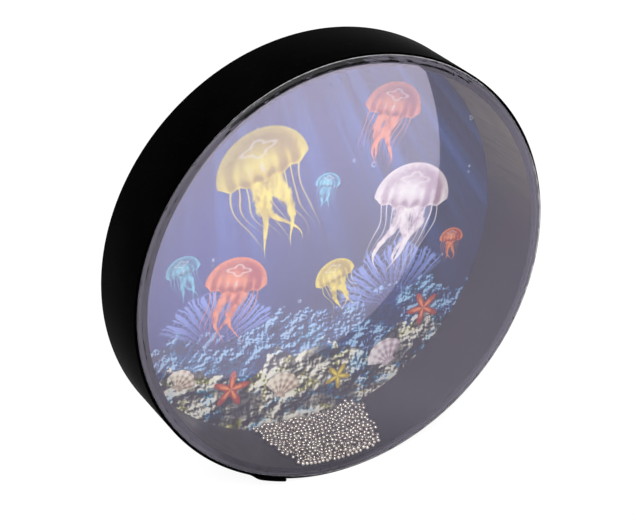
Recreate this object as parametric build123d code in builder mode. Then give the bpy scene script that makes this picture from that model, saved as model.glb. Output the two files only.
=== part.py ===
from build123d import *

import math
import os

import numpy as np

# An ocean drum: a shallow hoop closed by a film head on each side, with loose steel balls inside.
# It stands on edge. The axis of the hoop lies along Y, the clear front head faces -Y, +Z is up,
# and the origin is the middle of the drum. Sizes are in millimetres, angles in degrees.

# Overall size, over the covering and over both heads
drum_diameter = 305.0
drum_depth = 54.0

# Hoop
shell_wall = 6.5
shell_outer_round = 2.0
shell_inner_bevel = 0.4

# Film heads, folded over the hoop's edges into collars
film_thickness = 0.25
fold_radius = 1.0
collar_length = 20.0

# Layers of glue and adhesive
edge_glue_thickness = 0.15
collar_glue_thickness = 0.15
wrap_adhesive_thickness = 0.1

# Covering, one strip that laps over its own start near the bottom of the drum
wrap_thickness = 1.9
wrap_setback = 1.2
lap_length = 20.0
lap_ramp_length = 12.0
lap_lift = 0.5
lap_end_bevel = 0.6
lap_end_angle = 18.0

# Printed picture on the inside of the back head
picture_thickness = 0.1
picture_margin = 0.2

# Loose balls, in lanes side by side from the front head to the back head
bead_diameter = 3.175
bead_clearance = 0.3
lane_names = ["beads_front", "beads_mid_front", "beads_mid_back", "beads_back"]
front_lane_beads = 120
beads_added_per_lane = 30

# The pile that the balls make: its half-angle at each head, and how far it lies off the lowest point
pile_front_angle = 14.0
pile_back_angle = 18.3
pile_lean = 1.8

# How the balls are let down into the hoop: they start scattered, sink and push one another apart
scatter_seed = 9
scatter_depth = 12.0
sink_step = 0.06
sink_lean = 3.0
sinking_steps = 800
resting_steps = 400
push_share = 0.5
push_gap = 0.08

# Radii, from the covering inwards
wrap_outer_radius = drum_diameter / 2
wrap_inner_radius = wrap_outer_radius - wrap_thickness
film_outer_radius = wrap_inner_radius - wrap_adhesive_thickness
film_inner_radius = film_outer_radius - film_thickness
shell_outer_radius = film_inner_radius - collar_glue_thickness
shell_inner_radius = shell_outer_radius - shell_wall

# Distances from the middle of the drum along its axis
head_face = drum_depth / 2
film_inner_face = head_face - film_thickness
shell_edge = film_inner_face - edge_glue_thickness
collar_end = head_face - collar_length
wrap_edge = head_face - wrap_setback

# Flat part of the hoop's edge, which the glue covers
edge_inner_radius = shell_inner_radius + shell_inner_bevel
edge_outer_radius = shell_outer_radius - shell_outer_round
picture_radius = edge_inner_radius - picture_margin

# Space for the centres of the balls
bead_radius = bead_diameter / 2
bead_reach = shell_inner_radius - bead_clearance - bead_radius
chamber_front = -film_inner_face + bead_clearance / 2
chamber_back = film_inner_face - picture_thickness - bead_clearance / 2

os.makedirs("parts", exist_ok=True)


def finish(piece, name):
    """Label a finished piece and write it to its own file."""
    piece.label = name
    export_step(piece, f"parts/{name}.step")


def ring_profile(inner_radius, outer_radius, low, high):
    """Rectangle in the plane of the axis, to be turned into a ring about Y."""
    with Locations(((inner_radius + outer_radius) / 2, (low + high) / 2)):
        Rectangle(outer_radius - inner_radius, high - low)


def on_circle(radius, angle):
    """Point in the plane of the hoop, with the angle counted from straight down towards -X."""
    turn = math.radians(angle)
    return (-radius * math.sin(turn), -radius * math.cos(turn))


def arc_degrees(length, radius):
    """Angle that a length takes up along a circle."""
    return math.degrees(length / radius)


# Hoop, rounded on its outer edges and bevelled on its inner edges
with BuildPart() as shell:
    with BuildSketch(Plane.XY) as shell_section:
        ring_profile(shell_inner_radius, shell_outer_radius, -shell_edge, shell_edge)
        corners = shell_section.vertices().group_by(Axis.X)
        fillet(corners[-1], radius=shell_outer_round)
        corners = shell_section.vertices().group_by(Axis.X)
        chamfer(corners[0], length=shell_inner_bevel)
    revolve(axis=Axis.Y)
finish(shell.part, "shell")


# Heads: a flat film with a collar folded over the outside of the hoop, and the glue under each.
# The side is -1 at the front and 1 at the back.
for end, side in (("front", -1), ("back", 1)):
    with BuildPart() as head:
        with BuildSketch(Plane.XY) as film_section:
            with BuildLine():
                Polyline(
                    (0, side * head_face),
                    (film_outer_radius, side * head_face),
                    (film_outer_radius, side * collar_end),
                    (film_inner_radius, side * collar_end),
                    (film_inner_radius, side * film_inner_face),
                    (0, side * film_inner_face),
                    close=True,
                )
            make_face()
            for corner, radius in (
                ((film_outer_radius, side * head_face, 0), fold_radius),
                ((film_inner_radius, side * film_inner_face, 0), fold_radius - film_thickness),
            ):
                fillet(film_section.vertices().sort_by_distance(corner)[0], radius=radius)
        revolve(axis=Axis.Y)
    finish(head.part, f"{end}_head")

    glue_low, glue_high = sorted((side * shell_edge, side * film_inner_face))
    with BuildPart() as edge_glue:
        with BuildSketch(Plane.XY):
            ring_profile(edge_inner_radius, edge_outer_radius, glue_low, glue_high)
        revolve(axis=Axis.Y)
    finish(edge_glue.part, f"{end}_edge_glue")

    glue_low, glue_high = sorted((side * collar_end, side * (shell_edge - shell_outer_round)))
    with BuildPart() as collar_glue:
        with BuildSketch(Plane.XY):
            ring_profile(shell_outer_radius, film_inner_radius, glue_low, glue_high)
        revolve(axis=Axis.Y)
    finish(collar_glue.part, f"{end}_collar_glue")


# Adhesive layer that holds the covering over both collars
with BuildPart() as wrap_adhesive:
    with BuildSketch(Plane.XY):
        ring_profile(film_outer_radius, wrap_inner_radius, -wrap_edge, wrap_edge)
    revolve(axis=Axis.Y)
finish(wrap_adhesive.part, "wrap_adhesive")


# Covering. Its end rides up a ramp over its start, lies on it for the lap, and stops in a bevel.
lap_radius = wrap_outer_radius + wrap_thickness + lap_lift
lap_start_angle = lap_end_angle + arc_degrees(lap_length, lap_radius)
ramp_start_angle = lap_start_angle + arc_degrees(lap_ramp_length, wrap_outer_radius)
bevel_angle = lap_end_angle + arc_degrees(lap_end_bevel, lap_radius)
strip_middle_radius = (wrap_inner_radius + wrap_outer_radius) / 2
with BuildPart() as outer_wrap:
    with BuildSketch(Plane.XZ):
        Circle(wrap_outer_radius)
        with BuildLine():
            strip_start = on_circle(strip_middle_radius, lap_end_angle)
            end_foot = on_circle(lap_radius - lap_end_bevel, lap_end_angle)
            lap_end = on_circle(lap_radius, bevel_angle)
            lap_middle = on_circle(lap_radius, (bevel_angle + lap_start_angle) / 2)
            lap_start = on_circle(lap_radius, lap_start_angle)
            ramp_foot = on_circle(wrap_outer_radius, ramp_start_angle)
            under_ramp = on_circle(strip_middle_radius, ramp_start_angle)
            Polyline(strip_start, end_foot, lap_end)
            ThreePointArc(lap_end, lap_middle, lap_start)
            Polyline(lap_start, ramp_foot, under_ramp, strip_start)
        make_face()
        Circle(wrap_inner_radius, mode=Mode.SUBTRACT)
    extrude(amount=wrap_edge, both=True)
finish(outer_wrap.part, "outer_wrap")


# Printed picture, a thin round sheet on the inner face of the back head
with BuildPart() as picture_sheet:
    with BuildSketch(Plane.XZ.offset(-film_inner_face)):
        Circle(picture_radius)
    extrude(amount=picture_thickness)
finish(picture_sheet.part, "picture_sheet")


def settled_lane(count, near, far, start):
    """Centres of the balls of one lane, lying in the lowest part of the hoop between two planes."""
    along = start.uniform(near, far, count)
    share = (along - chamber_front) / (chamber_back - chamber_front)
    half_angle = pile_front_angle + (pile_back_angle - pile_front_angle) * share
    around = np.radians(half_angle * start.uniform(-1, 1, count))
    out = bead_reach - start.uniform(0, scatter_depth, count)
    centres = np.column_stack((-out * np.sin(around), along, -out * np.cos(around)))
    down = np.array((0, math.sin(math.radians(sink_lean)), -math.cos(math.radians(sink_lean))))
    pitch = bead_diameter + push_gap
    for step in range(sinking_steps + resting_steps):
        centres += down * sink_step * max(0, 1 - step / sinking_steps)
        apart = centres[:, None] - centres[None]
        distance = np.linalg.norm(apart, axis=2) + np.eye(count) * pitch
        push = push_share * np.clip(pitch - distance, 0, None) / distance
        centres += (apart * push[..., None]).sum(axis=1)
        centres[:, 1] = np.clip(centres[:, 1], near, far)
        inward = np.minimum(1, bead_reach / np.hypot(centres[:, 0], centres[:, 2]))
        centres[:, [0, 2]] *= inward[:, None]
    return centres


def leaning(centres):
    """The same balls turned about the axis, so that their middle lies at the angle of the lean."""
    middle = centres.mean(axis=0)
    turn = math.atan2(-middle[0], -middle[2]) - math.radians(pile_lean)
    cosine, sine = math.cos(turn), math.sin(turn)
    across = centres[:, 0] * cosine - centres[:, 2] * sine
    upward = centres[:, 0] * sine + centres[:, 2] * cosine
    return np.column_stack((across, centres[:, 1], upward))


# Balls, one group of loose solids for each lane. The lanes share the depth between the heads evenly.
lane_width = (chamber_back - chamber_front) / len(lane_names)
lane_inset = bead_radius + bead_clearance / 2
scatter = np.random.default_rng(scatter_seed)
for lane, lane_name in enumerate(lane_names):
    lane_near = chamber_front + lane * lane_width + lane_inset
    lane_far = chamber_front + (lane + 1) * lane_width - lane_inset
    lane_beads = front_lane_beads + lane * beads_added_per_lane
    bead_centres = leaning(settled_lane(lane_beads, lane_near, lane_far, scatter))
    between = np.linalg.norm(bead_centres[:, None] - bead_centres[None], axis=2)
    closest = between[~np.eye(lane_beads, dtype=bool)].min() - bead_diameter
    print(f"{lane_name}: {lane_beads} balls, least gap {closest:.3f} mm")
    with BuildPart() as beads:
        with Locations(*(tuple(centre) for centre in bead_centres)):
            Sphere(bead_radius)
    finish(beads.part, lane_name)
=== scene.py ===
"""Ocean drum: a shallow hoop with a clear film head, a printed back head and loose steel balls inside.

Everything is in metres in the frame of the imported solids: the hoop's axis lies along Y, the clear head
faces -Y, +Z is up and the origin is the middle of the drum.
"""

import logging
import math
from dataclasses import dataclass
from enum import Enum
from typing import Callable, Optional, Sequence, Union

import bmesh
import bpy
import numpy as np
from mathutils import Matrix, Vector


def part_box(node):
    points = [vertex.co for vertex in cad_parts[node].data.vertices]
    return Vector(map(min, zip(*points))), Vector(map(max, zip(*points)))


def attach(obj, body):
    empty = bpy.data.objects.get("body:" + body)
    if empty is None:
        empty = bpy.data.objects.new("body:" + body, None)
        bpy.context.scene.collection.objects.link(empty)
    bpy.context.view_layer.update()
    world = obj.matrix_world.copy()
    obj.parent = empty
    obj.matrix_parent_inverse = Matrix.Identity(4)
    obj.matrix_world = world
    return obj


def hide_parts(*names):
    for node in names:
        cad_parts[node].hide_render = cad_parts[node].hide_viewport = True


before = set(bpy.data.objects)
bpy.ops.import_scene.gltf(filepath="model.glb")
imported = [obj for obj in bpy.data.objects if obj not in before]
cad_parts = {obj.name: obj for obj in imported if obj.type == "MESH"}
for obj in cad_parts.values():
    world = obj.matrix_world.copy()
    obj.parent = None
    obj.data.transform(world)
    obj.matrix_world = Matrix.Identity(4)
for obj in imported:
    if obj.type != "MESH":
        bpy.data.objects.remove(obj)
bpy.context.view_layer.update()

log = logging.getLogger("ocean_drum")

MM = 0.001
Colour = tuple[float, float, float]
Tints = tuple[Colour, Colour]
Point = tuple[float, float]
Span = tuple[float, float]
Warp = Callable[[float, float, float], Point]

# Limits of a noise between which a finish goes softly from one look to another
SOFT: Span = (0.3, 0.7)


class Side(Enum):
    """The two heads, by the sign of their place along the axis."""

    FRONT = -1
    BACK = 1

    @property
    def word(self) -> str:
        """The side's name as the nodes spell it."""
        return self.name.lower()


class Lane(Enum):
    """The lanes of loose balls from the front to the back: node of the balls, and body they roll with."""

    FRONT = ("beads_front", "front_lane")
    MID_FRONT = ("beads_mid_front", "mid_front_lane")
    MID_BACK = ("beads_mid_back", "mid_back_lane")
    BACK = ("beads_back", "back_lane")

    def __init__(self, node: str, body: str) -> None:
        """Keep the names of the node and the body."""
        self.node = node
        self.body = body


DRUM_BODY = "drum"


class Field:
    """A value that varies over a surface: the output of a node. Arithmetic on it makes further nodes."""

    def __init__(self, painter: "Painter", socket: bpy.types.NodeSocket) -> None:
        """Keep the socket and the painter that made it."""
        self.painter = painter
        self.socket = socket

    def __add__(self, other: "Value") -> "Field":
        """Sum with a number or a field."""
        return self.painter.math("ADD", self, other)

    def __sub__(self, other: "Value") -> "Field":
        """Difference from a number or a field."""
        return self.painter.math("SUBTRACT", self, other)

    def __rsub__(self, other: "Value") -> "Field":
        """Difference of a number and this field."""
        return self.painter.math("SUBTRACT", other, self)

    def __mul__(self, other: "Value") -> "Field":
        """Product with a number or a field."""
        return self.painter.math("MULTIPLY", self, other)

    def __truediv__(self, other: "Value") -> "Field":
        """Quotient by a number or a field."""
        return self.painter.math("DIVIDE", self, other)

    def __pow__(self, other: "Value") -> "Field":
        """Power of a field that isn't negative."""
        return self.painter.math("POWER", self, other)

    def __neg__(self) -> "Field":
        """The field with its sign turned."""
        return self.painter.math("MULTIPLY", self, -1.0)

    def __abs__(self) -> "Field":
        """The field without its sign."""
        return self.painter.math("ABSOLUTE", self)

    __rmul__ = __mul__


Value = Union[float, Field]
Paint = Union[Colour, Field]


class Painter:
    """Makes the nodes of one tree."""

    def __init__(self, tree: bpy.types.NodeTree) -> None:
        """Start with an empty tree.

        Args:
            tree: the tree of a material, of the world or of a group.
        """
        self.tree = tree
        self.tree.nodes.clear()

    def node(self, kind: str, **settings: object) -> bpy.types.Node:
        """Add a node.

        Args:
            kind: the node's type name.
            settings: its options, by name.

        Returns:
            The new node.
        """
        made = self.tree.nodes.new(kind)
        for option, value in settings.items():
            setattr(made, option, value)
        return made

    def feed(self, socket: bpy.types.NodeSocket, value: object) -> None:
        """Link a field to a socket, or set a constant on it.

        Args:
            socket: the socket of the node.
            value: a field, a number or a colour.
        """
        if isinstance(value, Field):
            self.tree.links.new(value.socket, socket)
        elif socket.type == "RGBA":
            socket.default_value = (*value, 1.0)
        else:
            socket.default_value = value

    def math(self, operation: str, *values: Value) -> Field:
        """Work out one step of arithmetic.

        Args:
            operation: the name of the step, such as ADD.
            values: what it works on.

        Returns:
            The outcome.
        """
        made = self.node("ShaderNodeMath", operation=operation)
        for socket, value in zip(made.inputs, values):
            self.feed(socket, value)
        return Field(self, made.outputs[0])

    def smooth(self, value: Field, low: Value, high: Value, start: Value = 0.0, end: Value = 1.0) -> Field:
        """Ease from one level to another as a field goes from low to high.

        Args:
            value: the field that is followed.
            low: where the easing begins.
            high: where it ends.
            start: the level before low.
            end: the level after high.

        Returns:
            The eased level.
        """
        made = self.node("ShaderNodeMapRange", interpolation_type="SMOOTHSTEP")
        for socket, level in zip(made.inputs, (value, low, high, start, end)):
            self.feed(socket, level)
        return Field(self, made.outputs[0])

    def place(self) -> tuple[Field, Field, Field]:
        """Give the place on the object.

        Returns:
            X, Y and Z in millimetres.
        """
        x, y, z = (part * (1 / MM) for part in self.parts(self.spot()))
        return x, y, z

    def polar(self) -> tuple[Field, Field]:
        """Give the place on the object as seen along the drum's axis.

        Returns:
            The distance from the axis in millimetres, and the angle clockwise from the top in degrees.
        """
        x, _, z = self.place()
        return self.length(x, z), self.math("ARCTAN2", x, z) * math.degrees(1.0)

    def length(self, across: Field, up: Field) -> Field:
        """Distance of a place from the middle, by its two values."""
        return self.math("SQRT", across * across + up * up)

    def vector(self, x: Value, y: Value, z: Value = 0.0) -> Field:
        """Join three values to a place for a texture to look at.

        Args:
            x: the first value.
            y: the second value.
            z: the third value.

        Returns:
            The place.
        """
        made = self.node("ShaderNodeCombineXYZ")
        for socket, value in zip(made.inputs, (x, y, z)):
            self.feed(socket, value)
        return Field(self, made.outputs[0])

    def spot(self) -> Field:
        """Place on the object in metres, for a texture to look at."""
        return Field(self, self.node("ShaderNodeTexCoord").outputs["Object"])

    def mapped(self, where: Field, scale: Sequence[float],
               shift: Sequence[float] = (0.0, 0.0, 0.0)) -> Field:
        """Stretch a place and then shift it, for a texture to look at.

        Args:
            where: the place.
            scale: the stretch along each axis.
            shift: the shift along each axis.

        Returns:
            The new place.
        """
        made = self.node("ShaderNodeMapping")
        self.feed(made.inputs["Vector"], where)
        self.feed(made.inputs["Scale"], scale)
        self.feed(made.inputs["Location"], shift)
        return Field(self, made.outputs[0])

    def waver(self, value: Field, detail: float = 3.0) -> Field:
        """Soft random variation along a line.

        Args:
            value: the place along the line.
            detail: how many finer layers are added.

        Returns:
            Values about 0.5.
        """
        made = self.node("ShaderNodeTexNoise", noise_dimensions="1D")
        self.feed(made.inputs["W"], value)
        self.feed(made.inputs["Scale"], 1.0)
        self.feed(made.inputs["Detail"], detail)
        return Field(self, made.outputs[0])

    def noise(self, where: Field, scale: float, detail: float = 3.0, roughness: float = 0.5,
              distortion: float = 0.0) -> Field:
        """Soft random variation.

        Args:
            where: the place that the noise is read at.
            scale: how many waves there are per unit of the place.
            detail: how many finer layers are added.
            roughness: how strong the finer layers are.
            distortion: how much the pattern is swirled.

        Returns:
            Values about 0.5.
        """
        made = self.node("ShaderNodeTexNoise")
        self.feed(made.inputs["Vector"], where)
        self.feed(made.inputs["Scale"], scale)
        self.feed(made.inputs["Detail"], detail)
        self.feed(made.inputs["Roughness"], roughness)
        self.feed(made.inputs["Distortion"], distortion)
        return Field(self, made.outputs[0])

    def cells(self, where: Field, scale: float = 1.0) -> tuple[Field, Field]:
        """Random cells.

        Args:
            where: the place that the cells are read at.
            scale: how many cells there are per unit of the place.

        Returns:
            The distance from the cell's middle in cells, and a random level for the cell.
        """
        made = self.node("ShaderNodeTexVoronoi")
        self.feed(made.inputs["Vector"], where)
        self.feed(made.inputs["Scale"], scale)
        parts = self.node("ShaderNodeSeparateColor")
        self.tree.links.new(made.outputs["Color"], parts.inputs[0])
        return Field(self, made.outputs["Distance"]), Field(self, parts.outputs[0])

    def parts(self, where: Field) -> tuple[Field, Field, Field]:
        """Take a place apart.

        Args:
            where: the place.

        Returns:
            Its three values.
        """
        made = self.node("ShaderNodeSeparateXYZ")
        self.tree.links.new(where.socket, made.inputs[0])
        x, y, z = (Field(self, output) for output in made.outputs)
        return x, y, z

    def ramp(self, value: Field, *stops: tuple[float, Colour]) -> Field:
        """Colours along a scale.

        Args:
            value: the place along the scale, from 0 to 1.
            stops: places on the scale with their colours.

        Returns:
            The colour.
        """
        made = self.node("ShaderNodeValToRGB")
        elements = made.color_ramp.elements
        while len(elements) < len(stops):
            elements.new(1.0)
        for element, (at, colour) in zip(elements, stops):
            element.position = at
            element.color = (*colour, 1.0)
        self.feed(made.inputs[0], value)
        return Field(self, made.outputs[0])

    def mix(self, amount: Value, under: Paint, over: Paint, how: str = "MIX") -> Field:
        """Lay one colour over another.

        Args:
            amount: how much of the upper colour shows, from 0 to 1.
            under: the lower colour.
            over: the upper colour.
            how: the way they are combined, such as MIX, ADD or MULTIPLY.

        Returns:
            The colour that shows.
        """
        made = self.node("ShaderNodeMix", data_type="RGBA", blend_type=how)
        for index, value in ((0, amount), (6, under), (7, over)):
            self.feed(made.inputs[index], value)
        return Field(self, made.outputs[2])

    def bump(self, height: Field, strength: float, distance: float) -> Field:
        """Small relief.

        Args:
            height: the relief, from 0 to 1.
            strength: how much of it counts.
            distance: its depth in metres.

        Returns:
            The normal for a shader.
        """
        made = self.node("ShaderNodeBump")
        self.feed(made.inputs["Strength"], strength)
        self.feed(made.inputs["Distance"], distance)
        self.feed(made.inputs["Height"], height)
        return Field(self, made.outputs[0])

    def surface(self, **sockets: object) -> bpy.types.Node:
        """Add the main shader.

        Args:
            sockets: its settings, with each socket's name in lower case and joined by underscores.

        Returns:
            The shader's node.
        """
        made = self.node("ShaderNodeBsdfPrincipled")
        for socket in made.inputs:
            word = socket.name.lower().replace(" ", "_")
            if word in sockets:
                self.feed(socket, sockets[word])
        return made

    def blend(self, amount: Field, under: bpy.types.Node, over: bpy.types.Node) -> bpy.types.Node:
        """Lay one shader over another.

        Args:
            amount: how much of the upper shader shows, from 0 to 1.
            under: the lower shader.
            over: the upper shader.

        Returns:
            The shader that shows.
        """
        made = self.node("ShaderNodeMixShader")
        self.feed(made.inputs[0], amount)
        for socket, shader in zip(made.inputs[1:], (under, over)):
            self.tree.links.new(shader.outputs[0], socket)
        return made


class MaterialPainter(Painter):
    """Makes one material and its nodes."""

    def __init__(self, name: str) -> None:
        """Start an empty material.

        Args:
            name: the material's name.
        """
        self.material = bpy.data.materials.new(name)
        self.material.use_nodes = True
        super().__init__(self.material.node_tree)

    def finish(self, shader: bpy.types.Node) -> bpy.types.Material:
        """Lead a shader to the output.

        Args:
            shader: the finished shader.

        Returns:
            The material.
        """
        output = self.node("ShaderNodeOutputMaterial")
        self.tree.links.new(shader.outputs[0], output.inputs["Surface"])
        return self.material


class GroupPainter(Painter):
    """Makes a group of nodes that paints a figure over what lies under it."""

    def __init__(self, name: str, vectors: Sequence[str], colours: Sequence[str]) -> None:
        """Start a group.

        Args:
            name: the group's name.
            vectors: names of its inputs that are vectors.
            colours: names of its inputs that are colours.
        """
        super().__init__(bpy.data.node_groups.new(name, "ShaderNodeTree"))
        for words, kind in ((vectors, "NodeSocketVector"), (colours, "NodeSocketColor")):
            for word in words:
                self.tree.interface.new_socket(name=word, in_out="INPUT", socket_type=kind)
        entry = self.node("NodeGroupInput")
        self.given = {socket.name: Field(self, socket) for socket in entry.outputs if socket.name}

    def finish(self, painted: Field) -> bpy.types.NodeTree:
        """Lead a colour out of the group.

        Args:
            painted: the finished colour.

        Returns:
            The group.
        """
        self.tree.interface.new_socket(name="painted", in_out="OUTPUT", socket_type="NodeSocketColor")
        self.tree.links.new(painted.socket, self.node("NodeGroupOutput").inputs[0])
        return self.tree


def eased(share: float) -> float:
    """Ease a share in and out.

    Args:
        share: a number, of which only the range from 0 to 1 counts.

    Returns:
        A number from 0 to 1 that starts and ends softly.
    """
    held = min(1.0, max(0.0, share))
    return held * held * (3 - 2 * held)


@dataclass(frozen=True)
class Arc:
    """A stretch of the rim: the angle of its middle clockwise from the top, and its reach to each side."""

    middle: float
    reach: float

    def share(self, turn: float) -> float:
        """Share of a feature at one angle of the drum.

        Args:
            turn: the angle in degrees.

        Returns:
            1 in the inner half of the stretch, easing to 0 at its ends.
        """
        apart = abs((turn - self.middle + 180) % 360 - 180)
        return eased(2 * (1 - apart / self.reach))

    def shade(self, painter: Painter, turn: Field) -> Field:
        """Share of a feature over a surface.

        Args:
            painter: what makes the nodes.
            turn: the angle round the drum in degrees.

        Returns:
            1 in the inner half of the stretch, easing to 0 at its ends.
        """
        apart = painter.math("COSINE", (turn - self.middle) * math.radians(1.0))
        end, full = (math.cos(math.radians(reach)) for reach in (self.reach, self.reach / 2))
        return painter.smooth(apart, end, full)


def scene_rays(painter: Painter) -> Field:
    """Tell rays that look at the surroundings from rays that only carry light.

    Args:
        painter: what makes the nodes.

    Returns:
        1 for a ray from the camera, a mirror or a glass, and otherwise 0.
    """
    path = painter.node("ShaderNodeLightPath")
    camera, glossy, through = (
        Field(painter, path.outputs[name])
        for name in ("Is Camera Ray", "Is Glossy Ray", "Is Transmission Ray")
    )
    return painter.math("MAXIMUM", painter.math("MAXIMUM", camera, glossy), through)


@dataclass(frozen=True)
class HoopStain:
    """Wood fibre stained black, satin, with fine drawn lines along the depth of the hoop.

    A warm painted light lies on a stretch of the inner wall at the upper right. Pitches and radii are in
    millimetres.
    """

    colour: Colour = (0.011, 0.0105, 0.0108)
    line_colour: Colour = (0.027, 0.026, 0.026)
    line_pitch: float = 0.9
    line_length: float = 60.0
    line_shown: Span = (0.4, 0.75)
    line_relief: float = 0.03 * MM
    line_relief_share: float = 0.1
    cloud_scale: float = 0.03
    # Painted light: thin_colour is a warm brown laid on the inner wall at the upper right, shown along the
    # drawn lines by thin_shown
    thin_colour: Colour = (0.3, 0.265, 0.14)
    thin_middle: float = 55.0
    thin_reach: float = 42.0
    thin_until: float = 143.9
    thin_edge: float = 0.2
    thin_shown: Span = (0.0, 0.7)
    roughness: Span = (0.34, 0.5)
    gloss: float = 0.3

    def material(self) -> bpy.types.Material:
        """Make the material.

        Returns:
            The material.
        """
        painter = MaterialPainter("hoop_stain")
        x, y, z = painter.place()
        reach, turn = painter.polar()
        along = painter.vector(x / self.line_pitch, y / self.line_length, z / self.line_pitch)
        lines = painter.noise(along, 1.0, detail=2.0)
        cloud = painter.noise(painter.vector(x, y, z), self.cloud_scale, detail=4.0)
        amount = painter.smooth(lines, *self.line_shown) * painter.smooth(cloud, *SOFT)
        # Painted light on the inner wall: a warm patch round the upper right, laid over the stain
        inside = painter.smooth(reach, self.thin_until + self.thin_edge, self.thin_until)
        painted_light = painter.smooth(abs(turn - self.thin_middle), self.thin_reach, 0.0) * inside
        stain = painter.mix(amount, self.colour, self.line_colour)
        return painter.finish(painter.surface(
            base_color=painter.mix(painted_light * painter.smooth(lines, *self.thin_shown), stain, self.thin_colour),
            specular_ior_level=self.gloss,
            roughness=painter.smooth(cloud, *SOFT, *self.roughness),
            normal=painter.bump(lines, self.line_relief_share, self.line_relief),
        ))


@dataclass(frozen=True)
class GrainedCovering:
    """Black vinyl with a fine cloth grain, a little dust and a faint sheen."""

    colour: Colour = (0.0002, 0.0002, 0.0002)
    worn_colour: Colour = (0.001, 0.0008, 0.0008)
    worn_scale: float = 0.025
    worn_shown: Span = (0.42, 0.72)
    dust_colour: Colour = (0.008, 0.0075, 0.008)
    dust_scale: float = 0.8
    dust_shown: Span = (0.71, 0.76)
    grain_pitch: float = 0.55
    grain_relief: float = 0.05 * MM
    grain_relief_share: float = 0.5
    roughness: Span = (0.42, 0.56)
    gloss: float = 0.003

    def material(self) -> bpy.types.Material:
        """Make the material.

        Returns:
            The material.
        """
        painter = MaterialPainter("grained_covering")
        where = painter.vector(*painter.place())
        grain = painter.noise(where, 1 / self.grain_pitch, detail=2.0)
        cloud = painter.noise(where, self.worn_scale, detail=3.0)
        dust = painter.smooth(painter.noise(where, self.dust_scale, detail=1.0), *self.dust_shown)
        worn = painter.mix(painter.smooth(cloud, *self.worn_shown), self.colour, self.worn_colour)
        return painter.finish(painter.surface(
            base_color=painter.mix(dust, worn, self.dust_colour),
            roughness=painter.smooth(grain, *SOFT, *self.roughness),
            specular_ior_level=self.gloss,
            normal=painter.bump(grain, self.grain_relief_share, self.grain_relief),
        ))


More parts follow.
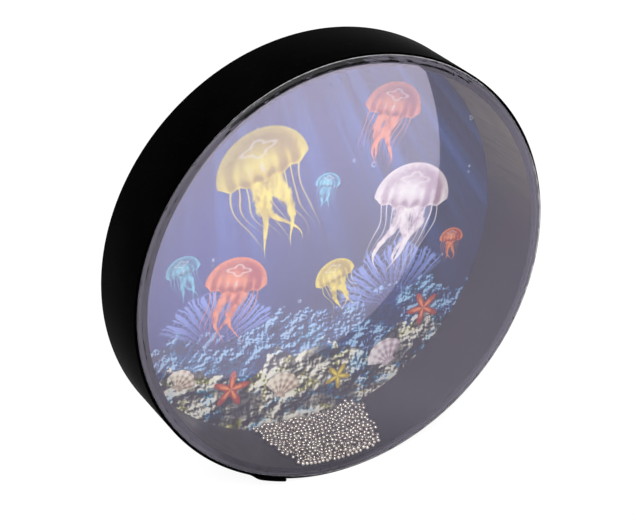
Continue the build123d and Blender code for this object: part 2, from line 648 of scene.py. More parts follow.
@dataclass(frozen=True)
class ClearFilm:
    """Clear polyester film.

    Along the top of the rim it is wet with glue in patches, and mirrors less there. On the hoop's edge it
    mirrors more where it lies dry, and less on its lip. A pale, broken glint is painted along the crease of
    its
    fold, strongest at the top and the right: a painted highlight.
    Angles are in degrees clockwise from the top, radii and widths in millimetres.
    """

    name: str
    mirror_colour: Colour = (0.85, 0.78, 1.0)
    head_on: float = 0.073
    slant_power: float = 5.0
    roughness: float = 0.012
    wet_begins: Span = (-38.0, -30.0)
    wet_fades: Span = (-2.0, 8.0)
    wet_ends: Span = (36.0, 44.0)
    wet_level: float = 0.26
    wet_faded: float = 0.155
    wet_ended: float = 0.3
    wet_ring: Span = (146.4, 150.4)
    wet_ring_edge: float = 0.3
    wet_depth: float = 0.97
    patch_turn: float = 4.0
    patch_skew: float = 0.3
    patch_width: float = 1.7
    patch_edge: Span = (0.63, 0.65)
    bonded_edge: Span = (143.8, 144.3)
    dry: Arc = Arc(98.0, 58.0)
    dry_gain: float = 0.3
    lip_edge: Span = (150.1, 150.5)
    lip_loss: float = 0.72
    # Painted highlight: a pale broken glint along the crease of the fold, strongest at the top and the right
    crease_edge: Span = (150.7, 150.85)
    crease_colour: Colour = (0.62, 0.6, 0.62)
    crease_roughness: float = 0.5
    crease_strength: float = 0.36
    crease_turn: float = 3.0
    crease_contrast: float = 2.5
    top_crease: Arc = Arc(12.0, 50.0)
    right_crease: Arc = Arc(88.0, 34.0)
    lower_crease: Arc = Arc(135.0, 80.0)
    lower_crease_share: float = 0.4

    def wet(self, painter: Painter) -> Field:
        """Find where the film is wet with glue.

        Args:
            painter: what makes the nodes.

        Returns:
            1 where it is wet, and otherwise 0.
        """
        reach, turn = painter.polar()
        where = painter.vector(turn / self.patch_turn + reach * self.patch_skew, reach / self.patch_width)
        level = (painter.smooth(turn, *self.wet_begins, 0.0, self.wet_level)
                 - painter.smooth(turn, *self.wet_fades, 0.0, self.wet_faded)
                 - painter.smooth(turn, *self.wet_ends, 0.0, self.wet_ended))
        inner, outer = self.wet_ring
        edge = self.wet_ring_edge
        ring = (painter.smooth(reach, inner - edge, inner + edge)
                * painter.smooth(reach, outer + edge, outer - edge))
        return painter.smooth(painter.noise(where, 1.0, detail=3.0) + level, *self.patch_edge) * ring

    def bonding(self, painter: Painter) -> tuple[Field, Field]:
        """Follow how the film lies on the hoop's edge, and where the painted highlight on its crease lies.

        Args:
            painter: what makes the nodes.

        Returns:
            How much it mirrors against free film, and the strength of the painted highlight along the crease
            of its fold.
        """
        reach, turn = painter.polar()
        edge = painter.smooth(reach, *self.bonded_edge)
        lip = painter.smooth(reach, *self.lip_edge)
        dry = self.dry.shade(painter, turn)
        share = (edge * dry * self.dry_gain + 1.0) * (1.0 - lip * self.lip_loss)
        lower = self.lower_crease.shade(painter, turn) * self.lower_crease_share
        right = painter.math("MAXIMUM", lower, self.right_crease.shade(painter, turn))
        folded = painter.math("MAXIMUM", self.top_crease.shade(painter, turn), right)
        # Painted highlight along the crease, broken up round the rim; worn here is its strength
        glint_breakup = painter.waver(turn / self.crease_turn, detail=2.0) - 0.5
        worn = glint_breakup * self.crease_contrast + 1.0
        return share, painter.smooth(reach, *self.crease_edge) * folded * worn * self.crease_strength

    def material(self) -> bpy.types.Material:
        """Make the material.

        Returns:
            The material.
        """
        painter = MaterialPainter(self.name)
        slant = Field(painter, painter.node("ShaderNodeLayerWeight").outputs["Facing"])
        mirrored = slant ** self.slant_power * (1 - self.head_on) + self.head_on
        # crease is the strength of the painted highlight on the fold
        share, crease = self.bonding(painter)
        amount = mirrored * share * (1.0 - self.wet(painter) * self.wet_depth)
        clear = painter.node("ShaderNodeBsdfTransparent")
        mirror = painter.surface(base_color=self.mirror_colour, metallic=1.0, roughness=self.roughness)
        # The pale rough surface laid over the crease is a painted highlight
        painted_glint = painter.surface(base_color=self.crease_colour, roughness=self.crease_roughness)
        return painter.finish(painter.blend(crease, painter.blend(amount, clear, mirror), painted_glint))


@dataclass(frozen=True)
class DarkGlue:
    """Dark glue that dried in runs. The film over it takes away most of its gloss."""

    colour: Colour = (0.0025, 0.0025, 0.003)
    thin_colour: Colour = (0.008, 0.0075, 0.008)
    thin_shown: Span = (0.4, 0.65)
    run_scale: float = 0.35
    run_swirl: float = 0.6
    run_relief: float = 0.05 * MM
    run_relief_share: float = 0.4
    roughness: Span = (0.16, 0.4)
    gloss: float = 0.03

    def material(self) -> bpy.types.Material:
        """Make the material.

        Returns:
            The material.
        """
        painter = MaterialPainter("dark_glue")
        where = painter.vector(*painter.place())
        runs = painter.noise(where, self.run_scale, detail=3.0, distortion=self.run_swirl)
        return painter.finish(painter.surface(
            base_color=painter.mix(painter.smooth(runs, *self.thin_shown), self.colour, self.thin_colour),
            roughness=painter.smooth(runs, *SOFT, *self.roughness),
            specular_ior_level=self.gloss,
            normal=painter.bump(runs, self.run_relief_share, self.run_relief),
        ))


@dataclass(frozen=True)
class ThinAdhesive:
    """Contact adhesive spread thin, with brush marks round the drum."""

    colour: Colour = (0.02, 0.018, 0.016)
    dark_colour: Colour = (0.009, 0.008, 0.007)
    brush_scale: float = 0.9
    brush_drag: float = 0.05
    brush_shown: Span = (0.35, 0.65)
    brush_relief: float = 0.03 * MM
    brush_relief_share: float = 0.4
    roughness: float = 0.45

    def material(self) -> bpy.types.Material:
        """Make the material.

        Returns:
            The material.
        """
        painter = MaterialPainter("thin_adhesive")
        x, y, z = painter.place()
        where = painter.vector(x * self.brush_drag, y * self.brush_scale, z * self.brush_drag)
        marks = painter.noise(where, 1.0, detail=3.0)
        return painter.finish(painter.surface(
            base_color=painter.mix(painter.smooth(marks, *self.brush_shown), self.dark_colour, self.colour),
            roughness=self.roughness,
            normal=painter.bump(marks, self.brush_relief_share, self.brush_relief),
        ))


@dataclass(frozen=True)
class PolishedSteel:
    """Bearing steel, tumbled to a soft shine, each ball a little different from the next."""

    pale: Colour = (0.62, 0.565, 0.5)
    dull: Colour = (0.43, 0.39, 0.335)
    smear_scale: float = 0.9
    smear_shown: Span = (0.4, 0.8)
    ball_share: float = 0.2
    roughness: Span = (0.3, 0.44)

    def material(self) -> bpy.types.Material:
        """Make the material.

        Returns:
            The material.
        """
        painter = MaterialPainter("polished_steel")
        each = Field(painter, painter.node("ShaderNodeNewGeometry").outputs["Random Per Island"])
        smear = painter.noise(painter.vector(*painter.place()), self.smear_scale, detail=3.0)
        return painter.finish(painter.surface(
            base_color=painter.mix(each, self.dull, self.pale),
            metallic=1.0,
            roughness=painter.smooth(smear + each * self.ball_share, *self.smear_shown, *self.roughness),
        ))


# Colour of the shade under a figure or in a hollow of the reef
SHADE: Colour = (0.004, 0.006, 0.01)


@dataclass(frozen=True)
class Motif:
    """A figure of the print: its place on the sheet and its size in millimetres, and its lean in degrees.

    It is painted from a deep and a bright colour, and the phase makes it differ from others of its kind.
    The lengths in the drawings are in parts of its size.
    """

    across: float
    up: float
    size: float
    lean: float
    tints: Tints
    phase: float = 0.0

    @classmethod
    def draw(cls, painter: GroupPainter, under: Field, local: Field) -> Field:
        """Paint the figure about its own middle, with its size as the unit.

        Args:
            painter: what makes the nodes.
            under: what is painted already.
            local: place on the figure: across it, the phase, and up it.

        Returns:
            The colour with the figure on it.
        """
        raise NotImplementedError

    @classmethod
    def group(cls) -> bpy.types.NodeTree:
        """Make the group of nodes that paints this kind of figure, or find it if it is made.

        Returns:
            The group.
        """
        name = f"{cls.__name__.lower()}_figure"
        if name in bpy.data.node_groups:
            return bpy.data.node_groups[name]
        painter = GroupPainter(name, ("place", "turn", "stretch"), ("under", "deep", "bright"))
        placing = painter.node("ShaderNodeMapping", vector_type="TEXTURE")
        for socket, word in (("Location", "place"), ("Rotation", "turn"), ("Scale", "stretch")):
            painter.feed(placing.inputs[socket], painter.given[word])
        painter.feed(placing.inputs["Vector"], painter.spot())
        return painter.finish(cls.draw(painter, painter.given["under"], Field(painter, placing.outputs[0])))

    def stamp(self, painter: Painter, under: Field) -> Field:
        """Paint the figure onto the sheet.

        The figure's place hangs on what lies under it, by a shift too small to see, so that the renderer
        works the figures out one after another. It has no room for all of them at once.

        Args:
            painter: what makes the nodes.
            under: what is painted already.

        Returns:
            The colour with the figure on it.
        """
        unseen_shift = 1e-9
        deep, bright = self.tints
        place = painter.node("ShaderNodeVectorMath", operation="MULTIPLY_ADD")
        for socket, value in zip(place.inputs, (
            under, (unseen_shift,) * 3, (self.across * MM, self.phase, self.up * MM),
        )):
            painter.feed(socket, value)
        made = painter.node("ShaderNodeGroup", node_tree=self.group())
        for word, value in (
            ("place", Field(painter, place.outputs[0])),
            ("turn", (0.0, math.radians(self.lean), 0.0)),
            ("stretch", (self.size * MM, 1.0, self.size * MM)),
            ("under", under),
            ("deep", deep),
            ("bright", bright),
        ):
            painter.feed(made.inputs[word], value)
        return Field(painter, made.outputs[0])


class Jelly(Motif):
    """A drifting jellyfish: strands, frilled arms, and a scalloped bell over them.

    Heights are counted from the rim of the bell.
    """

    sway_waves: float = 2.3
    sway_full: float = -1.8
    sway_reach: float = 0.26

    strand_count: float = 6.0
    strand_gather: float = 0.3
    strand_gathered: float = -3.0
    strand_waves: float = 6.0
    strand_lag: float = 8.0
    strand_reach: float = 0.17
    strand_pick: float = 1.7
    strand_length: float = 4.2
    strand_cut: float = 0.2
    strand_faded: float = 0.1
    strand_edge: Span = (0.15, 0.03)
    strand_field: Span = (0.86, 0.8)
    strand_root: Span = (0.05, -0.05)
    strand_share: float = 0.75

    arm_middles: tuple[float, ...] = (-0.3, 0.28, 0.0)
    arm_frill: tuple[float, ...] = (4.5, 1.0, 2.6)
    arm_frill_roughness: float = 0.6
    arm_width: float = 0.62
    arm_cut: float = 0.05
    arm_tip: float = -1.9
    arm_root: Span = (0.04, -0.04)
    arm_waves: float = 3.1
    arm_phase: float = 1.7
    arm_lag: float = 9.0
    arm_reach: float = 0.16
    arm_sway: float = 0.8
    arm_gather: float = 0.3
    arm_shade: float = 0.5
    arm_tone: Span = (0.25, 0.6)
    arm_edge: float = 0.5
    arm_share: float = 0.9

    bell_edge: Span = (1.0, 0.965)
    bell_rim: Span = (-0.01, 0.01)
    bell_under: float = 4.2
    bell_over: float = 1.15
    bell_share: float = 0.93
    scallop_count: float = 17.0
    scallop_top: float = 0.3
    scallop_depth: float = 0.03
    girth_squared: float = 1.06
    girth_fall: float = 1.2
    girth_least: float = 0.04
    rib_count: float = 23.0
    rib_top: float = 0.42
    rib_share: float = 0.5
    rim_glow: Span = (0.72, 1.0)
    rim_share: float = 0.55
    crown_lean: float = 0.3
    crown_lift: float = 0.35
    crown_edge: Span = (0.75, -0.15)
    crown_share: float = 0.95
    speckle: tuple[float, ...] = (9.0, 1.0, 9.0)
    speckle_share: float = 0.5
    base_tone: float = 0.12
    tone_range: Span = (0.0, 1.05)
    gleam_range: Span = (1.0, 1.5)
    gleam_colour: Colour = (1.0, 0.98, 0.94)
    gleam_share: float = 0.6
    shaded_up: Span = (0.16, -0.1)
    shaded_across: Span = (0.95, 0.3)
    shaded_share: float = 0.45
    petal_height: float = 0.45
    petal_stretch: float = 2.0
    petal_count: float = 4.0
    petal_depth: float = 0.09
    petal_across: float = 1.4
    petal_up: float = 1.5
    petal_ring: float = 0.34
    petal_edge: Span = (0.1, 0.02)
    petal_colour: Colour = (1.0, 0.95, 0.88)
    petal_share: float = 0.4

    @classmethod
    def strands(cls, painter: GroupPainter, under: Field, local: Field, sway: Field) -> Field:
        """Paint the long thin strands.

        Args:
            painter: what makes the nodes.
            under: what is painted already.
            local: place on the figure.
            sway: how far the strands are carried aside.

        Returns:
            The colour with the strands on it.
        """
        across, phase, height = painter.parts(local)
        spread = painter.smooth(height, 0.0, cls.strand_gathered) * -cls.strand_gather + 1.0
        off = (across - sway) / spread
        wave = painter.math("SINE", height * cls.strand_waves + off * cls.strand_lag + phase)
        strand = off * cls.strand_count + wave * cls.strand_reach
        pick = painter.math("FLOOR", strand) * cls.strand_pick + phase
        length = painter.waver(pick) * cls.strand_length - cls.strand_cut
        thread = painter.smooth(abs(painter.math("FRACT", strand) - 0.5), *cls.strand_edge)
        shown = painter.smooth(abs(off), *cls.strand_field) * painter.smooth(height, *cls.strand_root)
        fading = painter.smooth(-height, length, cls.strand_faded) * cls.strand_share
        return painter.mix(thread * shown * fading, under, painter.given["bright"])

    @classmethod
    def arms(cls, painter: GroupPainter, under: Field, local: Field, sway: Field) -> Field:
        """Paint the frilled arms.

        Args:
            painter: what makes the nodes.
            under: what is painted already.
            local: place on the figure.
            sway: how far the strands are carried aside.

        Returns:
            The colour with the arms on it.
        """
        across, phase, height = painter.parts(local)
        frill = painter.noise(painter.mapped(local, cls.arm_frill), 1.0, detail=4.0,
                              roughness=cls.arm_frill_roughness)
        taper = painter.smooth(height, cls.arm_tip, 0.0)
        width = (frill * cls.arm_width - cls.arm_cut) * taper
        below = painter.smooth(height, *cls.arm_root) * cls.arm_share
        painted = under
        for middle in cls.arm_middles:
            beat = height * -(cls.arm_waves + middle) + phase * cls.arm_phase + middle * cls.arm_lag
            drift = painter.math("SINE", beat) * height * -cls.arm_reach
            off = abs(across - sway * cls.arm_sway - drift - middle * (1 - taper * cls.arm_gather))
            tone = painter.smooth(frill - off * cls.arm_shade, *cls.arm_tone)
            ruffle = painter.mix(tone, painter.given["deep"], painter.given["bright"])
            painted = painter.mix(painter.smooth(off, width, width * cls.arm_edge) * below, painted, ruffle)
        return painted

    @classmethod
    def bell(cls, painter: GroupPainter, under: Field, local: Field) -> Field:
        """Paint the bell, with ribs on its skirt, a lit crown and a ring of petals.

        Args:
            painter: what makes the nodes.
            under: what is painted already.
            local: place on the figure.

        Returns:
            The colour with the bell on it.
        """
        across, _, height = painter.parts(local)
        deep, bright = painter.given["deep"], painter.given["bright"]
        scallops = painter.math("COSINE", across * cls.scallop_count)
        raised = height + scallops * painter.smooth(height, cls.scallop_top, 0.0) * cls.scallop_depth
        flat = raised * painter.smooth(raised, *cls.bell_rim, cls.bell_under, cls.bell_over)
        reach = painter.length(across, flat)
        squared = cls.girth_squared - height * height * cls.girth_fall
        girth = painter.math("SQRT", painter.math("MAXIMUM", squared, cls.girth_least))
        ribs = painter.math("COSINE", across / girth * cls.rib_count) * 0.5 + 0.5
        skirt = painter.smooth(height, cls.rib_top, 0.0)
        crown = painter.smooth(reach + across * cls.crown_lean - height * cls.crown_lift, *cls.crown_edge)
        speckle = painter.noise(painter.mapped(local, cls.speckle), 1.0) - 0.5
        tone = (painter.smooth(reach, *cls.rim_glow) * cls.rim_share + crown * cls.crown_share
                + ribs * ribs * skirt * cls.rib_share + speckle * cls.speckle_share + cls.base_tone)
        body = painter.mix(painter.smooth(tone, *cls.tone_range), deep, bright)
        gleam = painter.smooth(tone, *cls.gleam_range) * cls.gleam_share
        body = painter.mix(gleam, body, cls.gleam_colour)
        shade = painter.smooth(height, *cls.shaded_up) * painter.smooth(abs(across), *cls.shaded_across)
        body = painter.mix(shade * cls.shaded_share, body, deep, how="MULTIPLY")
        risen = (height - cls.petal_height) * cls.petal_stretch
        turn = painter.math("ARCTAN2", across, risen)
        petals = painter.math("COSINE", turn * cls.petal_count) * cls.petal_depth
        ring = painter.math("SQRT", across * across * cls.petal_across + risen * risen * cls.petal_up)
        line = painter.smooth(abs(ring - cls.petal_ring - petals), *cls.petal_edge)
        body = painter.mix(line * cls.petal_share, body, cls.petal_colour)
        return painter.mix(painter.smooth(reach, *cls.bell_edge) * cls.bell_share, under, body)

    @classmethod
    def draw(cls, painter: GroupPainter, under: Field, local: Field) -> Field:
        """Paint the jellyfish.

        Args:
            painter: what makes the nodes.
            under: what is painted already.
            local: place on the figure: across it, the phase, and up it.

        Returns:
            The colour with the jellyfish on it.
        """
        _, phase, height = painter.parts(local)
        wave = painter.math("SINE", height * -cls.sway_waves + phase)
        sway = wave * painter.smooth(height, 0.0, cls.sway_full) * cls.sway_reach
        painted = cls.strands(painter, under, local, sway)
        painted = cls.arms(painter, painted, local, sway)
        return cls.bell(painter, painted, local)


class SeaStar(Motif):
    """A sea star with a knobbly ridge along each arm."""

    arm_count: float = 5.0
    arm_power: float = 1.5
    disc: float = 0.34
    outer_edge: Span = (1.0, 0.93)
    shadow_across: float = 0.1
    shadow_down: float = 0.13
    shadow_edge: Span = (1.12, 0.8)
    shadow_share: float = 0.75
    knobs: tuple[float, ...] = (9.0, 0.0, 9.0)
    knob_edge: Span = (0.45, 0.15)
    knob_share: float = 0.4
    ridge_edge: Span = (1.0, 0.2)
    lit_from_above: float = 0.15
    tone_range: Span = (0.15, 0.95)

    @classmethod
    def outline(cls, painter: GroupPainter, x: Field, y: Field) -> tuple[Field, Field]:
        """Follow the outline of the arms.

        Args:
            painter: what makes the nodes.
            x: place across the star.
            y: place up the star.

        Returns:
            The distance from the middle in parts of the outline's distance, and 1 along the arms.
        """
        arm = painter.math("COSINE", painter.math("ARCTAN2", x, y) * cls.arm_count) * 0.5 + 0.5
        return painter.length(x, y) / (arm ** cls.arm_power * (1 - cls.disc) + cls.disc), arm

    @classmethod
    def draw(cls, painter: GroupPainter, under: Field, local: Field) -> Field:
        """Paint the sea star.

        Args:
            painter: what makes the nodes.
            under: what is painted already.
            local: place on the figure: across it, the phase, and up it.

        Returns:
            The colour with the sea star on it.
        """
        across, _, height = painter.parts(local)
        shadow, _ = cls.outline(painter, across - cls.shadow_across, height + cls.shadow_down)
        painted = painter.mix(painter.smooth(shadow, *cls.shadow_edge) * cls.shadow_share, under, SHADE)
        reach, arm = cls.outline(painter, across, height)
        knobs, _ = painter.cells(painter.mapped(local, cls.knobs))
        ridge = arm * painter.smooth(reach, *cls.ridge_edge)
        tone = ridge + painter.smooth(knobs, *cls.knob_edge) * cls.knob_share + height * cls.lit_from_above
        body = painter.mix(painter.smooth(tone, *cls.tone_range),
                           painter.given["deep"], painter.given["bright"])
        return painter.mix(painter.smooth(reach, *cls.outer_edge), painted, body)


class Scallop(Motif):
    """A scallop shell with ribs and growth bands."""

    hinge: float = 0.85
    rib_count: float = 17.0
    rib_depth: float = 0.02
    rib_share: float = 0.24
    side_reach: float = 1.2
    top_gain: float = 0.55
    outer_edge: Span = (1.0, 0.96)
    half_angle: Span = (1.02, 0.98)
    ear_width: Span = (0.44, 0.4)
    ear_height: Span = (0.14, 0.1)
    ear_middle: float = 0.1
    band_count: float = 15.0
    band_bend: float = 0.3
    band_share: float = 0.16
    pale_edge: Span = (0.2, 1.0)
    pale_share: float = 0.3
    lit_from_left: float = 0.25
    base_tone: float = 0.42
    shadow_edge: Span = (1.12, 0.9)
    shadow_angle: Span = (1.2, 0.9)
    shadow_share: float = 0.7

    @classmethod
    def draw(cls, painter: GroupPainter, under: Field, local: Field) -> Field:
        """Paint the shell.

        Args:
            painter: what makes the nodes.
            under: what is painted already.
            local: place on the figure: across it, the phase, and up it.

        Returns:
            The colour with the shell on it.
        """
        across, _, height = painter.parts(local)
        raised = height + cls.hinge
        turn = painter.math("ARCTAN2", across, raised)
        rib = painter.math("COSINE", turn * cls.rib_count)
        far = painter.length(across, raised)
        edge = painter.math("COSINE", turn) * cls.top_gain + cls.side_reach + rib * cls.rib_depth
        reach = far / edge
        fan = painter.smooth(reach, *cls.outer_edge) * painter.smooth(abs(turn), *cls.half_angle)
        ears = (painter.smooth(abs(across), *cls.ear_width)
                * painter.smooth(abs(raised - cls.ear_middle), *cls.ear_height))
        bands = painter.math("SINE", far * cls.band_count + rib * cls.band_bend) * cls.band_share
        pale = painter.smooth(reach, *cls.pale_edge) * cls.pale_share
        tone = rib * cls.rib_share + bands + pale - across * cls.lit_from_left + cls.base_tone
        shadow = painter.smooth(reach, *cls.shadow_edge) * painter.smooth(abs(turn), *cls.shadow_angle)
        painted = painter.mix(shadow * cls.shadow_share, under, SHADE)
        body = painter.mix(painter.smooth(tone, 0.0, 1.0), painter.given["deep"], painter.given["bright"])
        return painter.mix(painter.math("MAXIMUM", fan, ears), painted, body)


class SeaFan(Motif):
    """A sea fan: a net of fine branches that spreads from its foot."""

    stray: tuple[float, ...] = (2.4, 1.0, 2.4)
    edge_waves: float = 2.2
    edge_reach: float = 0.7
    edge_least: float = 0.62
    edge_softness: float = 0.06
    half_angle: Span = (1.25, 1.1)
    stem_count: float = 5.5
    stem_stray: float = 1.6
    stem_edge: Span = (0.24, 0.1)
    twig_count: float = 2.0
    twig_slant: float = 1.5
    twig_edge: Span = (0.22, 0.1)
    twig_start: Span = (0.3, 0.5)
    link_count: float = 11.0
    link_stray: float = 3.0
    link_edge: Span = (0.16, 0.06)
    link_share: float = 0.6
    tone_stray: float = 0.6
    tone_range: Span = (0.1, 0.95)
    fan_share: float = 0.85

    @classmethod
    def lines(cls, painter: GroupPainter, count: Field, edge: Span) -> Field:
        """Fine lines, one at each half of a count, with an edge from its outside to its inside."""
        return painter.smooth(abs(painter.math("FRACT", count) - 0.5), *edge)

    @classmethod
    def draw(cls, painter: GroupPainter, under: Field, local: Field) -> Field:
        """Paint the sea fan.

        Args:
            painter: what makes the nodes.
            under: what is painted already.
            local: place on the figure: across it, the phase, and up it.

        Returns:
            The colour with the sea fan on it.
        """
        across, phase, height = painter.parts(local)
        far = painter.length(across, height)
        turn = painter.math("ARCTAN2", across, height)
        stray = painter.noise(painter.mapped(local, cls.stray), 1.0) - 0.5
        edge = painter.waver(turn * cls.edge_waves + phase, detail=4.0) * cls.edge_reach + cls.edge_least
        spread = turn * cls.stem_count + stray * cls.stem_stray
        stems = cls.lines(painter, spread, cls.stem_edge)
        twigs = cls.lines(painter, spread * cls.twig_count + far * cls.twig_slant, cls.twig_edge)
        links = cls.lines(painter, far * cls.link_count + stray * cls.link_stray, cls.link_edge)
        net = painter.math("MAXIMUM", stems, twigs * painter.smooth(far, *cls.twig_start))
        net = painter.math("MAXIMUM", net, links * cls.link_share)
        inside = (painter.smooth(far, edge, edge - cls.edge_softness)
                  * painter.smooth(abs(turn), *cls.half_angle))
        body = painter.mix(painter.smooth(far + stray * cls.tone_stray, *cls.tone_range),
                           painter.given["deep"], painter.given["bright"])
        return painter.mix(net * inside * cls.fan_share, under, body)


@dataclass(frozen=True)
class ReefBank:
    """A bank of coral rock across the sheet, with its heights and lengths in millimetres.

    Its layer is where its noises are read, so that no two banks are alike. The zones are the colours of the
    rock along a scale from 0 to 1. Scales of noises are in waves per metre.
    """

    top: float
    roll: float
    grain: float
    layer: float
    dark: Colour
    gleam: Colour
    shown: float
    zones: tuple[tuple[float, Colour], ...]
    roll_length: float = 75.0
    ragged_height: float = 26.0
    ragged_scale: float = 110.0
    ragged_roughness: float = 0.6
    rock_detail: float = 6.0
    rock_roughness: float = 0.66
    rock_range: Span = (0.38, 0.54)
    rock_base: float = 0.15
    light_step: Point = (-0.07, 0.1)
    light_range: Span = (-0.05, 0.09)
    mass_scale: Point = (24.0, 30.0)
    mass_layer: float = 7.0
    crest_depth: float = 16.0
    crest_share: float = 0.1
    hollow_range: Span = (0.36, 0.52)
    hollow_level: Span = (0.2, 1.6)
    zone_scale: Point = (38.0, 58.0)
    zone_layer: float = 3.0
    zone_swirl: float = 0.5
    gleam_range: Span = (0.55, 1.0)
    gleam_share: float = 0.8
    edge: float = 0.8

    def where(self, painter: Painter, scale: Point, layer: float = 0.0, step: Point = (0.0, 0.0)) -> Field:
        """Place on the sheet for a noise of this bank.

        Args:
            painter: what makes the nodes.
            scale: waves per metre across and up.
            layer: what is added to the bank's layer.
            step: shift across and up, in waves.

        Returns:
            The place.
        """
        (across, up), (aside, raised) = scale, step
        return painter.mapped(painter.spot(), (across, 0.0, up), (aside, self.layer + layer, raised))

    def rock(self, painter: Painter, step: Point = (0.0, 0.0)) -> Field:
        """Find how high the rock is.

        Args:
            painter: what makes the nodes.
            step: shift across and up, in parts of the grain.

        Returns:
            Values about 0.5.
        """
        scale = 1 / (self.grain * MM)
        return painter.noise(self.where(painter, (scale, scale), step=step), 1.0,
                             detail=self.rock_detail, roughness=self.rock_roughness)

    def paint(self, painter: Painter, under: Field, u: Field, v: Field) -> Field:
        """Paint the bank: rock lit from the upper left, in zones of colour.

        Args:
            painter: what makes the nodes.
            under: what is painted already.
            u: place across the sheet.
            v: place up the sheet.

        Returns:
            The colour with the bank on it.
        """
        rolling = painter.waver(u / self.roll_length + self.layer) * self.roll
        ragged = painter.noise(self.where(painter, (self.ragged_scale, self.ragged_scale)), 1.0,
                               detail=4.0, roughness=self.ragged_roughness) * self.ragged_height
        skyline = rolling + ragged + (self.top - self.roll / 2 - self.ragged_height / 2)
        rock = self.rock(painter)
        lit = painter.smooth(rock - self.rock(painter, self.light_step), *self.light_range)
        mass = painter.noise(self.where(painter, self.mass_scale, self.mass_layer), 1.0, detail=1.0)
        crest = painter.smooth(skyline - v, self.crest_depth, 0.0)
        hollow = painter.smooth(mass + crest * self.crest_share, *self.hollow_range, *self.hollow_level)
        body = painter.smooth(rock, *self.rock_range) * (1 - self.rock_base) + self.rock_base
        tone = lit * body * hollow
        zone = painter.noise(self.where(painter, self.zone_scale, self.zone_layer), 1.0,
                             distortion=self.zone_swirl)
        stone = painter.mix(tone, self.dark, painter.ramp(zone, *self.zones))
        stone = painter.mix(painter.smooth(tone, *self.gleam_range) * self.gleam_share, stone, self.gleam)
        inside = painter.smooth(v, skyline + self.edge, skyline - self.edge)
        return painter.mix(inside * self.shown, under, stone)


